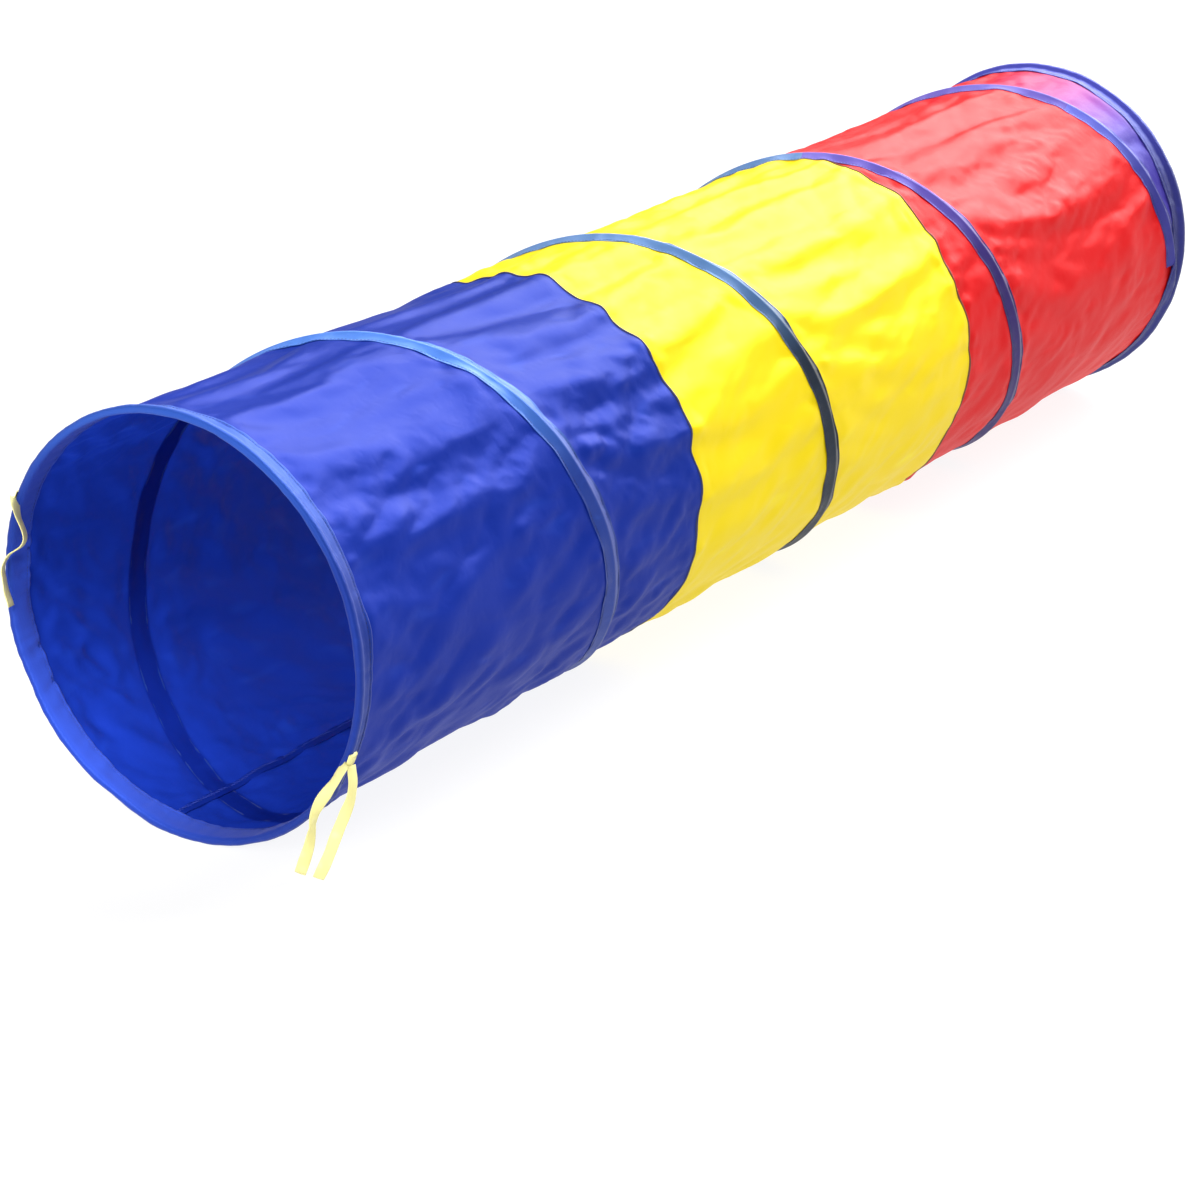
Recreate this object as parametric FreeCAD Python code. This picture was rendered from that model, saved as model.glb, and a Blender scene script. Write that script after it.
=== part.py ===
import FreeCAD, Part
import math
import os

# Pop-up agility tunnel, in millimetres, +Z up. It lies along Y on the plane z = 0, with its near
# mouth at -Y and its far mouth at +Y. A distance "along" is counted from the near mouth's face,
# and an angle "round" goes from the crown (+Z) towards +X. The origin is under the middle.

Vector = FreeCAD.Vector

# Driving sizes of the whole tunnel
TUNNEL_LENGTH = 1900.0
CLOTH_INNER_RADIUS = 223.8
CLOTH_THICKNESS = 0.8
PANEL_COUNT = 3
COIL_TURNS = 4
COIL_START_ANGLE = 114.0        # where the coil leaves the near ring and meets the far one
WIRE_DIAMETER = 3.0
BINDING_WIDTH = 28.0
FLOOR_PRESS = 1.5               # how far the round binding is pressed flat where it rests

# Gaps that keep soft neighbours clear of each other
SOFT_GAP = 0.3
TURN_GAP = 0.2                  # along the tunnel, between one turn of the coil and the next

# Layers, from the cloth outwards
CLOTH_OUTER_RADIUS = CLOTH_INNER_RADIUS + CLOTH_THICKNESS
WIRE_RADIUS = WIRE_DIAMETER / 2
WIRE_CIRCLE_RADIUS = CLOTH_OUTER_RADIUS + 0.8 + WIRE_RADIUS

# Coil sleeve: a tape with a raised channel over the wire
TAPE_WIDTH = 28.0
TAPE_THICKNESS = 0.6
CHANNEL_INNER_RADIUS = WIRE_RADIUS + 0.35
CHANNEL_OUTER_RADIUS = CHANNEL_INNER_RADIUS + TAPE_THICKNESS

# Mouth binding: a tape folded round the cloth's edge, with the ring wire in the fold
FERRULE_OUTER_RADIUS = 2.0
FERRULE_INNER_RADIUS = WIRE_RADIUS + 0.05
FERRULE_LENGTH = 24.0
RING_WIRE_ALONG = 4.8           # the ring wire's distance from the mouth's face
RING_END_GAP = 1.0
BINDING_LEG_THICKNESS = 0.9
BINDING_INNER_LEG_OUTER = CLOTH_INNER_RADIUS - SOFT_GAP
BINDING_INNER_RADIUS = BINDING_INNER_LEG_OUTER - BINDING_LEG_THICKNESS
BINDING_OUTER_LEG_INNER = WIRE_CIRCLE_RADIUS + FERRULE_OUTER_RADIUS + 0.2
BINDING_OUTER_LEG_OUTER = BINDING_OUTER_LEG_INNER + BINDING_LEG_THICKNESS
BINDING_ROLL_RADIUS = BINDING_OUTER_LEG_INNER + 2.5     # outside of the roll over the ring wire
BINDING_ROLL_WIDTH = 8.5
BINDING_FOLD_THICKNESS = 2.6
BINDING_CORNER = 3.0
CLOTH_EDGE_ALONG = 3.0          # where the cloth ends inside the fold

AXIS_HEIGHT = BINDING_ROLL_RADIUS - FLOOR_PRESS

# Seams inside the tunnel
SEAM_WIDTH = 12.0
SEAM_THICKNESS = BINDING_LEG_THICKNESS   # level with the bindings inside
SEAM_OUTER_RADIUS = CLOTH_INNER_RADIUS - SOFT_GAP
SEAM_INNER_RADIUS = SEAM_OUTER_RADIUS - SEAM_THICKNESS
SIDE_SEAM_WIDTH = 10.0
SIDE_SEAM_ANGLE = 187.0

# Ties at the near mouth: flat ribbons sewn on the outside of its rim
RIBBON_WIDTH = 12.0
RIBBON_THICKNESS = 1.2
TACK_GAP = 0.2                  # between the rim and the folded ribbon under the stitches
TACK_LENGTH = 8.0
TACK_END_GAP = 1.0              # between the tack and the start of its tails
ARC_SHARE = 0.45                # share of the shorter run that an arc takes on each side

# Each tail's route from its tack to its free end, in the row's own frame
RIGHT_FRONT_ROUTE = [
    (211.5, -943.8, 133.7), (200, -946, 104.5), (187, -952, 79),
    (176, -956, 53), (165, -958, 28), (156, -960, 7),
]
RIGHT_REAR_ROUTE = [
    (212.7, -943.8, 133.1), (217, -946, 104), (211, -950, 77),
    (200, -954, 50), (188, -957, 26), (178, -959, 7),
]
LEFT_FRONT_ROUTE = [
    (-213, -944.5, 325.2), (-220, -955.5, 311), (-205, -960.5, 297), (-206, -961, 277),
    (-223, -960, 261), (-226, -959, 240), (-218, -959, 214),
]
LEFT_REAR_ROUTE = [
    (-210.6, -930.5, 328.3), (-222.5, -927, 302), (-231, -922, 275),
    (-234.5, -917, 247), (-234.5, -914, 220),
]
RIGHT_TIE_ANGLE = 114.5
LEFT_TIE_ANGLE = -65.0


def y_at(along):
    """The row's Y for a distance from the near mouth."""
    return along - TUNNEL_LENGTH / 2


def mirrored_if(shape, at_far_end):
    """The same piece at the far mouth: the near one reflected in the tunnel's middle plane."""
    if not at_far_end:
        return shape
    return shape.mirror(Vector(0, 0, 0), Vector(0, 1, 0))


def revolved(face, start_angle, sweep_angle):
    """Turn a section, drawn at x = radius and y = distance along, about the tunnel's axis."""
    solid = face.revolve(Vector(0, 0, 0), Vector(0, 1, 0), sweep_angle)
    solid.rotate(Vector(0, 0, 0), Vector(0, 1, 0), start_angle - 90)
    solid.translate(Vector(0, y_at(0), AXIS_HEIGHT))
    return solid


def polygon_face(points):
    """A flat face from its corners, closed back to the first."""
    return Part.Face(Part.makePolygon(points + [points[0]]))


def tube(inner_radius, outer_radius, start, end):
    """A plain tube about the tunnel's axis between two distances along it."""
    section = polygon_face([
        Vector(inner_radius, start, 0),
        Vector(outer_radius, start, 0),
        Vector(outer_radius, end, 0),
        Vector(inner_radius, end, 0),
    ])
    return revolved(section, 90, 360)


def degrees_for(arc_length, radius):
    """The angle that an arc of this length takes at this radius."""
    return math.degrees(arc_length / radius)


# The coil

COIL_PITCH = TUNNEL_LENGTH / COIL_TURNS
LEAD_ANGLE = math.atan(COIL_PITCH / (2 * math.pi * WIRE_CIRCLE_RADIUS))
WIRE_START = RING_WIRE_ALONG + WIRE_RADIUS + FERRULE_OUTER_RADIUS + SOFT_GAP
SLEEVE_START = BINDING_WIDTH + TAPE_WIDTH / 2 + 0.5


def helix_sweep(profile, start, end):
    """Sweep a profile, drawn at the helix's first point, from one distance along to another."""
    path = Part.makeHelix(COIL_PITCH, end - start, WIRE_CIRCLE_RADIUS)
    solid = Part.Wire(path.Edges).makePipeShell([profile], True, True)
    solid.rotate(Vector(0, 0, 0), Vector(1, 0, 0), -90)
    start_angle = COIL_START_ANGLE + 360 * start / COIL_PITCH
    solid.rotate(Vector(0, 0, 0), Vector(0, 1, 0), start_angle - 90)
    solid.translate(Vector(0, y_at(start), AXIS_HEIGHT))
    return solid


def wire_profile():
    """The wire's round section in quarter arcs, square to the helix at its first point."""
    tangent = Vector(0, math.cos(LEAD_ANGLE), math.sin(LEAD_ANGLE))
    circle = Part.Circle(Vector(WIRE_CIRCLE_RADIUS, 0, 0), tangent, WIRE_RADIUS)
    quarter = math.pi / 2
    return Part.Wire([circle.toShape(i * quarter, (i + 1) * quarter) for i in range(4)])


def sleeve_profile():
    """The tape's section: two flat margins and a round channel over the wire."""
    side = Vector(0, -math.sin(LEAD_ANGLE), math.cos(LEAD_ANGLE))

    def at(radius, across):
        return Vector(radius, 0, 0) + side * across

    half = TAPE_WIDTH / 2
    bottom = CLOTH_OUTER_RADIUS + SOFT_GAP
    top = bottom + TAPE_THICKNESS
    centre = WIRE_CIRCLE_RADIUS
    inner = CHANNEL_INNER_RADIUS
    outer = CHANNEL_OUTER_RADIUS
    outline = [
        Part.LineSegment(at(bottom, -half), at(bottom, -inner)),
        Part.LineSegment(at(bottom, -inner), at(centre, -inner)),
        Part.Arc(at(centre, -inner), at(centre + inner, 0), at(centre, inner)),
        Part.LineSegment(at(centre, inner), at(bottom, inner)),
        Part.LineSegment(at(bottom, inner), at(bottom, half)),
        Part.LineSegment(at(bottom, half), at(top, half)),
        Part.LineSegment(at(top, half), at(top, outer)),
        Part.LineSegment(at(top, outer), at(centre, outer)),
        Part.Arc(at(centre, outer), at(centre + outer, 0), at(centre, -outer)),
        Part.LineSegment(at(centre, -outer), at(top, -outer)),
        Part.LineSegment(at(top, -outer), at(top, -half)),
        Part.LineSegment(at(top, -half), at(bottom, -half)),
    ]
    return Part.Wire([curve.toShape() for curve in outline])


def turn_span(turn, first_start):
    """Where a turn of the coil starts and ends along the tunnel."""
    start = turn * COIL_PITCH + TURN_GAP / 2
    end = (turn + 1) * COIL_PITCH - TURN_GAP / 2
    if turn == 0:
        start = first_start
    if turn == COIL_TURNS - 1:
        end = TUNNEL_LENGTH - first_start
    return start, end


def coil_wire(turn):
    return helix_sweep(wire_profile(), *turn_span(turn, WIRE_START))


def coil_sleeve(turn):
    return helix_sweep(sleeve_profile(), *turn_span(turn, SLEEVE_START))


# The mouths


def ring_wire():
    """A closed ring of spring wire, its two ends meeting inside the ferrule."""
    centre = Vector(WIRE_CIRCLE_RADIUS, RING_WIRE_ALONG, 0)
    disc = Part.Face(Part.Wire([Part.Circle(centre, Vector(0, 0, 1), WIRE_RADIUS).toShape()]))
    gap = degrees_for(RING_END_GAP, WIRE_CIRCLE_RADIUS)
    return revolved(disc, COIL_START_ANGLE + gap / 2, 360 - gap)


def ring_ferrule():
    """The crimped tube over the ring wire's ends."""
    centre = Vector(WIRE_CIRCLE_RADIUS, RING_WIRE_ALONG, 0)
    outer = Part.Wire([Part.Circle(centre, Vector(0, 0, 1), FERRULE_OUTER_RADIUS).toShape()])
    inner = Part.Wire([Part.Circle(centre, Vector(0, 0, 1), FERRULE_INNER_RADIUS).toShape()])
    section = Part.Face(outer).cut(Part.Face(inner)).Faces[0]
    sweep = degrees_for(FERRULE_LENGTH, WIRE_CIRCLE_RADIUS)
    return revolved(section, COIL_START_ANGLE - sweep / 2, sweep)


def mouth_binding():
    """The folded tape: a rolled rim over the ring wire and two legs over the cloth."""
    inner = BINDING_INNER_RADIUS
    leg_top = BINDING_OUTER_LEG_OUTER
    roll = BINDING_ROLL_RADIUS
    width = BINDING_WIDTH
    fold = BINDING_FOLD_THICKNESS
    corner = BINDING_CORNER
    on_arc = corner * (1 - math.sqrt(0.5))
    slope_end = BINDING_ROLL_WIDTH + 3.0

    def at(radius, along):
        return Vector(radius, along, 0)

    outline = [
        Part.LineSegment(at(inner, width), at(inner, corner)),
        Part.Arc(at(inner, corner), at(inner + on_arc, on_arc), at(inner + corner, 0)),
        Part.LineSegment(at(inner + corner, 0), at(roll - corner, 0)),
        Part.Arc(at(roll - corner, 0), at(roll - on_arc, on_arc), at(roll, corner)),
        Part.LineSegment(at(roll, corner), at(roll, BINDING_ROLL_WIDTH)),
        Part.LineSegment(at(roll, BINDING_ROLL_WIDTH), at(leg_top, slope_end)),
        Part.LineSegment(at(leg_top, slope_end), at(leg_top, width)),
        Part.LineSegment(at(leg_top, width), at(BINDING_OUTER_LEG_INNER, width)),
        Part.LineSegment(at(BINDING_OUTER_LEG_INNER, width), at(BINDING_OUTER_LEG_INNER, fold)),
        Part.LineSegment(at(BINDING_OUTER_LEG_INNER, fold), at(BINDING_INNER_LEG_OUTER, fold)),
        Part.LineSegment(at(BINDING_INNER_LEG_OUTER, fold), at(BINDING_INNER_LEG_OUTER, width)),
        Part.LineSegment(at(BINDING_INNER_LEG_OUTER, width), at(inner, width)),
    ]
    section = Part.Face(Part.Wire([curve.toShape() for curve in outline]))
    round_binding = revolved(section, 90, 360)
    below = 2 * FLOOR_PRESS
    ground = Part.makeBox(4 * roll, 4 * width, below, Vector(-2 * roll, y_at(-width), -below))
    return round_binding.cut(ground).Solids[0]


# The cloth


def panel_span(index):
    """Where a panel starts and ends along the tunnel."""
    panel_length = TUNNEL_LENGTH / PANEL_COUNT
    start = index * panel_length + SOFT_GAP
    end = (index + 1) * panel_length - SOFT_GAP
    if index == 0:
        start = CLOTH_EDGE_ALONG
    if index == PANEL_COUNT - 1:
        end = TUNNEL_LENGTH - CLOTH_EDGE_ALONG
    return start, end


def cloth_panel(index):
    return tube(CLOTH_INNER_RADIUS, CLOTH_OUTER_RADIUS, *panel_span(index))


def seam_ring(index):
    """The sewn allowances where one panel joins the next, inside the tunnel."""
    middle = (index + 1) * TUNNEL_LENGTH / PANEL_COUNT
    half = SEAM_WIDTH / 2
    return tube(SEAM_INNER_RADIUS, SEAM_OUTER_RADIUS, middle - half, middle + half)


def side_seam(index):
    """The seam that closes a panel into a tube, inside and near the ground."""
    start, end = panel_span(index)
    start = start + (BINDING_WIDTH if index == 0 else SEAM_WIDTH)
    end = end - (BINDING_WIDTH if index == PANEL_COUNT - 1 else SEAM_WIDTH)
    section = polygon_face([
        Vector(SEAM_INNER_RADIUS, start, 0),
        Vector(SEAM_OUTER_RADIUS, start, 0),
        Vector(SEAM_OUTER_RADIUS, end, 0),
        Vector(SEAM_INNER_RADIUS, end, 0),
    ])
    sweep = degrees_for(SIDE_SEAM_WIDTH, SEAM_OUTER_RADIUS)
    return revolved(section, SIDE_SEAM_ANGLE - sweep / 2, sweep)


# The ties


def filleted_path(points, name):
    """Straight runs joined by tangent arcs, as large as the runs allow. Also returns its length."""
    edges = []
    here = points[0]
    length = 0.0
    for before, corner, after in zip(points, points[1:], points[2:]):
        into = (corner - before).normalize()
        out = (after - corner).normalize()
        half_turn = into.getAngle(out) / 2
        setback = ARC_SHARE * min((corner - before).Length, (after - corner).Length)
        radius = setback / math.tan(half_turn)
        arc_start = corner - into * setback
        arc_end = corner + out * setback
        inwards = (out - into).normalize()
        arc_middle = corner + inwards * (radius / math.cos(half_turn) - radius)
        edges.append(Part.LineSegment(here, arc_start).toShape())
        edges.append(Part.Arc(arc_start, arc_middle, arc_end).toShape())
        length += (arc_start - here).Length + 2 * half_turn * radius
        print(f"{name}: turn {math.degrees(2 * half_turn):.1f} degrees, radius {radius:.0f} mm")
        here = arc_end
    edges.append(Part.LineSegment(here, points[-1]).toShape())
    length += (points[-1] - here).Length
    return Part.Wire(edges), length


def ribbon(route, name):
    """A flat ribbon along its route, starting flat on the rim with its width along the tunnel."""
    points = [Vector(*point) for point in route]
    path, length = filleted_path(points, name)
    run = (points[1] - points[0]).normalize()
    tunnel = Vector(0, 1, 0)
    width_side = (tunnel - run * tunnel.dot(run)).normalize()
    face_side = run.cross(width_side) * (RIBBON_THICKNESS / 2)
    edge_side = width_side * (RIBBON_WIDTH / 2)
    corners = [
        points[0] - edge_side - face_side,
        points[0] + edge_side - face_side,
        points[0] + edge_side + face_side,
        points[0] - edge_side + face_side,
    ]
    profile = Part.makePolygon(corners + [corners[0]])
    solid = path.makePipeShell([profile], True, False)
    expected = length * RIBBON_WIDTH * RIBBON_THICKNESS
    print(f"{name}: length {length:.1f} mm, volume {solid.Volume:.0f} for {expected:.0f} mm3")
    return solid


def tack(tail_angle, side, thickness, route_y, reach):
    """The folded and stitched middle of a ribbon, ending where its tails start."""
    inner = BINDING_ROLL_RADIUS + TACK_GAP
    start = route_y - RIBBON_WIDTH / 2 - y_at(0)
    section = polygon_face([
        Vector(inner, start, 0),
        Vector(inner + thickness, start, 0),
        Vector(inner + thickness, start + reach, 0),
        Vector(inner, start + reach, 0),
    ])
    sweep = degrees_for(TACK_LENGTH, inner)
    clear = degrees_for(TACK_END_GAP, inner)
    first = tail_angle + clear if side > 0 else tail_angle - clear - sweep
    return revolved(section, first, sweep)


def build_nodes():
    """Every node's name and solid."""
    nodes = {}
    for end_name, at_far_end in (("near", False), ("far", True)):
        nodes[f"{end_name}_mouth_binding"] = mirrored_if(mouth_binding(), at_far_end)
        nodes[f"{end_name}_ring_wire"] = mirrored_if(ring_wire(), at_far_end)
        nodes[f"{end_name}_ring_ferrule"] = mirrored_if(ring_ferrule(), at_far_end)
    for turn in range(COIL_TURNS):
        nodes[f"coil_wire_turn_{turn + 1}"] = coil_wire(turn)
        nodes[f"coil_sleeve_turn_{turn + 1}"] = coil_sleeve(turn)
    for index, colour in enumerate(("blue", "yellow", "red")):
        nodes[f"{colour}_panel"] = cloth_panel(index)
        nodes[f"{colour}_side_seam"] = side_seam(index)
    nodes["blue_yellow_seam"] = seam_ring(0)
    nodes["yellow_red_seam"] = seam_ring(1)
    nodes["right_tie_front_tail"] = ribbon(RIGHT_FRONT_ROUTE, "right front tail")
    nodes["right_tie_rear_tail"] = ribbon(RIGHT_REAR_ROUTE, "right rear tail")
    nodes["left_tie_front_tail"] = ribbon(LEFT_FRONT_ROUTE, "left front tail")
    nodes["left_tie_rear_tail"] = ribbon(LEFT_REAR_ROUTE, "left rear tail")
    stacked = 2 * RIBBON_THICKNESS + TACK_GAP
    side_by_side = LEFT_REAR_ROUTE[0][1] - LEFT_FRONT_ROUTE[0][1] + RIBBON_WIDTH
    nodes["right_tie_tack"] = tack(
        RIGHT_TIE_ANGLE, -1, stacked, RIGHT_FRONT_ROUTE[0][1], RIBBON_WIDTH)
    nodes["left_tie_tack"] = tack(
        LEFT_TIE_ANGLE, 1, RIBBON_THICKNESS, LEFT_FRONT_ROUTE[0][1], side_by_side)
    return nodes


def main():
    os.makedirs("parts", exist_ok=True)
    for name, shape in build_nodes().items():
        if not shape.isValid() or len(shape.Solids) != 1:
            raise RuntimeError(f"{name} is not one valid solid")
        shape.Solids[0].exportStep(f"parts/{name}.step")


main()
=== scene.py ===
import math

import bpy
import numpy as np
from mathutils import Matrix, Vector


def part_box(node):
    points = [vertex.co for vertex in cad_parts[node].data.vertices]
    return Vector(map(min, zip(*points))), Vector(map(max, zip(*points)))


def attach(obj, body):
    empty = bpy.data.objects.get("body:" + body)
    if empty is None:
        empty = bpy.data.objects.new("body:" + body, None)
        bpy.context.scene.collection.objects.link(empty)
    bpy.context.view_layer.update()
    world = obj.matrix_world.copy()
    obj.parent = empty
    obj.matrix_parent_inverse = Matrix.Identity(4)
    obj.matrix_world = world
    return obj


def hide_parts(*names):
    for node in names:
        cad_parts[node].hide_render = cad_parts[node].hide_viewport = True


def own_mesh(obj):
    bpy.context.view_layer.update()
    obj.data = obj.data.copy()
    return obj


# Pop-up agility tunnel, in metres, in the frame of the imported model: it lies along Y with its near
# mouth at -Y. "Along" is counted from the near mouth's face; an angle "round" goes from the crown
# towards +X.

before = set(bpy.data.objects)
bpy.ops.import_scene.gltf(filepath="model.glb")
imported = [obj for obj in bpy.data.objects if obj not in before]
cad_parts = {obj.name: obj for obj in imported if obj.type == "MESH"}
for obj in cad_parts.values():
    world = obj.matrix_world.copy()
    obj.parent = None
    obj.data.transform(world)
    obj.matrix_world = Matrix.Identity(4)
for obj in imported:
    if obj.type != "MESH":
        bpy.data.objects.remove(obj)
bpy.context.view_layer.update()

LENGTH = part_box("far_mouth_binding")[1].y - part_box("near_mouth_binding")[0].y
MIDDLE = LENGTH / 2
AXIS_HEIGHT = (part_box("blue_panel")[0].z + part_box("blue_panel")[1].z) / 2
CLOTH_RADIUS = 0.2242
WIRE_CIRCLE_RADIUS = 0.2269
WIRE_RADIUS = 0.0015
COIL_TURNS = 4
COIL_START_ANGLE = 114.0
PITCH = LENGTH / COIL_TURNS
BINDING_WIDTH = 0.028
CLOTH_EDGE = 0.003
PANEL_EDGES = (CLOTH_EDGE, LENGTH / 3, 2 * LENGTH / 3, LENGTH - CLOTH_EDGE)
FLOOR_CLEARANCE = 0.0012
TAU = 2 * math.pi


# Camera

def add_camera(place, azimuth, elevation, lens):
    """A camera at that place, turned from +Y towards -X by the azimuth and looking down."""
    side, down = math.radians(azimuth), math.radians(elevation)
    look = Vector((-math.sin(side) * math.cos(down), math.cos(side) * math.cos(down), -math.sin(down)))
    data = bpy.data.cameras.new("camera")
    data.lens = lens
    data.sensor_width = 36.0
    data.clip_end = 60.0
    camera = bpy.data.objects.new("camera", data)
    camera.location = place
    camera.rotation_euler = look.to_track_quat("-Z", "Y").to_euler()
    bpy.context.scene.collection.objects.link(camera)
    bpy.context.scene.camera = camera


add_camera((2.092, -3.333, 1.4785), 33.60, 21.16, 101.45)


# Mesh helpers

def mesh_object(name, points, faces, uvs=None, cloths=()):
    """A new object from points, faces, one (u, v) per point in metres, and its materials."""
    mesh = bpy.data.meshes.new(name)
    mesh.from_pydata([tuple(p) for p in np.asarray(points, float).reshape(-1, 3)], [], faces)
    for cloth in cloths:
        mesh.materials.append(cloth)
    if uvs is not None:
        layer = mesh.uv_layers.new(name="cloth")
        index = np.zeros(len(mesh.loops), np.int32)
        mesh.loops.foreach_get("vertex_index", index)
        layer.data.foreach_set("uv", np.asarray(uvs, np.float32).reshape(-1, 2)[index].ravel())
    mesh.polygons.foreach_set("use_smooth", [True] * len(mesh.polygons))
    mesh.update()
    made = bpy.data.objects.new(name, mesh)
    bpy.context.scene.collection.objects.link(made)
    return made


def grid_faces(across, along, closed_across=False):
    """Quads of a grid whose point (i, j) is number i * along + j."""
    faces = []
    last = across if closed_across else across - 1
    for i in range(last):
        here, there = i * along, ((i + 1) % across) * along
        for j in range(along - 1):
            faces.append((here + j, here + j + 1, there + j + 1, there + j))
    return faces


def section_faces(steps, section_count, capped=True):
    """Faces of a closed section carried along a line, with its two ends closed."""
    faces = []
    for i in range(steps - 1):
        here, there = i * section_count, (i + 1) * section_count
        for j in range(section_count):
            after = (j + 1) % section_count
            faces.append((here + j, here + after, there + after, there + j))
    if capped:
        for base, turned in ((0, False), ((steps - 1) * section_count, True)):
            last = base + section_count - 1
            for j in range(section_count // 2 - 1):
                quad = (base + j, last - j, last - 1 - j, base + j + 1)
                faces.append(tuple(reversed(quad)) if turned else quad)
    return faces


def there_and_back(count):
    """The numbers of a strip's points across its top and back along its underside."""
    return np.concatenate([np.arange(count), np.arange(count)[::-1]])


# Ties: each tail is a flat ribbon along its own spline, whose points are the route in part.py,
# moved a little to how the ribbons really hang. "widths" are directions across the ribbon, spread
# evenly along it.

RIBBON_WIDTH = 0.012
RIBBON_THICKNESS = 0.0009
RIBBON_CUP = 0.0009             # how deep the ribbon is hollowed across
RIBBON_RIPPLE = 0.0003
RIBBON_LOWEST = 0.0003          # above the floor
# places across the ribbon, from edge to edge, and its thickness there: the woven edges are thicker
RIBBON_ACROSS = np.array([-1.0, -0.97, -0.86, -0.6, -0.3, 0.0, 0.3, 0.6, 0.86, 0.97, 1.0])
RIBBON_SWELL = np.array([0.35, 1.0, 1.15, 0.75, 0.7, 0.7, 0.7, 0.75, 1.15, 1.0, 0.35])
TAILS = {
    "right_tie_front_tail": {
        "route": [(0.2105, -0.9500, 0.1365), (0.1985, -0.9555, 0.1130), (0.1780, -0.9560, 0.0850),
                  (0.1715, -0.9565, 0.0630), (0.1690, -0.9580, 0.0400), (0.1560, -0.9600, 0.0060)],
        "widths": [(0.9, -0.30, 0.3), (0.85, -0.35, -0.4), (0.70, 0.60, -0.4), (-0.1, 1.0, 0.1),
                   (0.75, 0.60, 0.25), (0.9, 0.4, 0.2)],
    },
    "right_tie_rear_tail": {
        "route": [(0.2130, -0.9440, 0.1325), (0.2190, -0.9480, 0.1120), (0.2130, -0.9530, 0.0880),
                  (0.2000, -0.9560, 0.0580), (0.1890, -0.9570, 0.0280), (0.1780, -0.9585, 0.0060)],
        "widths": [(0.0, 1.0, 0.0), (0.2, 1.0, 0.1), (0.8, 0.6, 0.2), (0.95, 0.25, 0.3), (0.95, 0.3, 0.3),
                   (0.8, 0.5, 0.2)],
    },
    "left_tie_front_tail": {
        "route": [(-0.2090, -0.9485, 0.3300), (-0.2010, -0.9585, 0.3190), (-0.1890, -0.9600, 0.3040),
                  (-0.1860, -0.9610, 0.2860), (-0.2140, -0.9600, 0.2700), (-0.2265, -0.9590, 0.2450),
                  (-0.2150, -0.9590, 0.2120)],
        "widths": [(0.0, 1.0, 0.0), (-0.35, 0.9, -0.15), (-0.4, 0.9, -0.2), (-0.45, 0.85, -0.2),
                   (-0.45, 0.85, -0.2), (-0.35, 0.9, -0.15), (-0.2, 0.95, -0.1)],
    },
    "left_tie_rear_tail": {
        "route": [(-0.2106, -0.9305, 0.3283), (-0.2225, -0.9270, 0.3020), (-0.2310, -0.9220, 0.2750),
                  (-0.2345, -0.9170, 0.2470), (-0.2345, -0.9140, 0.2200)],
        "widths": [(0.0, 1.0, 0.0), (0.0, 1.0, 0.1), (0.0, 1.0, 0.1), (-0.1, 1.0, 0.1), (-0.2, 1.0, 0.1)],
    },
}


def route_points(name, route):
    """Points along the smooth NURBS line of a route."""
    curve = bpy.data.curves.new(name, "CURVE")
    curve.dimensions = "3D"
    curve.resolution_u = 12
    spline = curve.splines.new("NURBS")
    spline.points.add(len(route) - 1)
    for point, place in zip(spline.points, route):
        point.co = (*place, 1)
    spline.order_u = 3
    spline.use_endpoint_u = True
    carrier = bpy.data.objects.new(name, curve)
    bpy.context.scene.collection.objects.link(carrier)
    line = bpy.data.meshes.new_from_object(carrier)
    points = np.array([vertex.co for vertex in line.vertices])
    bpy.data.meshes.remove(line)
    bpy.data.objects.remove(carrier)
    return points


def ribbon_tail(name, route, widths):
    """A woven ribbon with slightly thicker selvedges, turning as its widths say."""
    points = route_points(name, route)
    runs = np.gradient(points, axis=0)
    runs /= np.linalg.norm(runs, axis=1)[:, None]
    steps = np.concatenate([[0], np.cumsum(np.linalg.norm(np.diff(points, axis=0), axis=1))])
    length = steps[-1]
    given = np.linspace(0, length, len(widths))
    side = np.stack([np.interp(steps, given, [w[k] for w in widths]) for k in range(3)], -1)
    side -= runs * np.sum(side * runs, axis=1)[:, None]
    side /= np.linalg.norm(side, axis=1)[:, None]
    face = np.cross(side, runs)
    across = RIBBON_ACROSS
    cupped = RIBBON_CUP * (across ** 2 - 0.4)
    ripple = RIBBON_RIPPLE * np.sin(steps / length * 37 + len(name))[:, None] * across[None, :] ** 2
    half = RIBBON_WIDTH / 2 * (1 + 0.03 * np.sin(steps / length * 23))[:, None]
    middle = points[:, None] + side[:, None] * (half * across)[..., None]
    middle = middle + face[:, None] * (cupped + ripple)[..., None]
    lift = face[:, None] * (RIBBON_SWELL * RIBBON_THICKNESS / 2)[None, :, None]
    both = np.concatenate([middle + lift, (middle - lift)[:, ::-1]], 1)
    both[..., 2] = np.maximum(both[..., 2], RIBBON_LOWEST)
    u = across[there_and_back(len(across))] * RIBBON_WIDTH / 2 + 0 * steps[:, None]
    uvs = np.stack([u, steps[:, None] + 0 * u], -1)
    tail = mesh_object(f"{name}_ribbon", both, section_faces(len(points), u.shape[1]), uvs)
    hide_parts(name)
    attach(tail, "near_end")
    return tail


tails = [ribbon_tail(name, tail["route"], tail["widths"]) for name, tail in TAILS.items()]


# Cloth: one simulated tube, later cut into the three panels

COLUMNS = 160
ROWS_PER_PANEL = 72


def cloth_rows():
    """Distances along of the grid's rows, with a row on each seam."""
    rows = [CLOTH_EDGE]
    for start, end in zip(PANEL_EDGES, PANEL_EDGES[1:]):
        rows += list(np.linspace(start, end, ROWS_PER_PANEL + 1)[1:])
    return np.array(rows)


def coil_distance(angle, along):
    """Distance along from a point to the nearest crossing of the coil, negative before it."""
    phase = (along / PITCH - (angle - COIL_START_ANGLE) / 360 + 0.5) % 1 - 0.5
    return phase * PITCH


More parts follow.
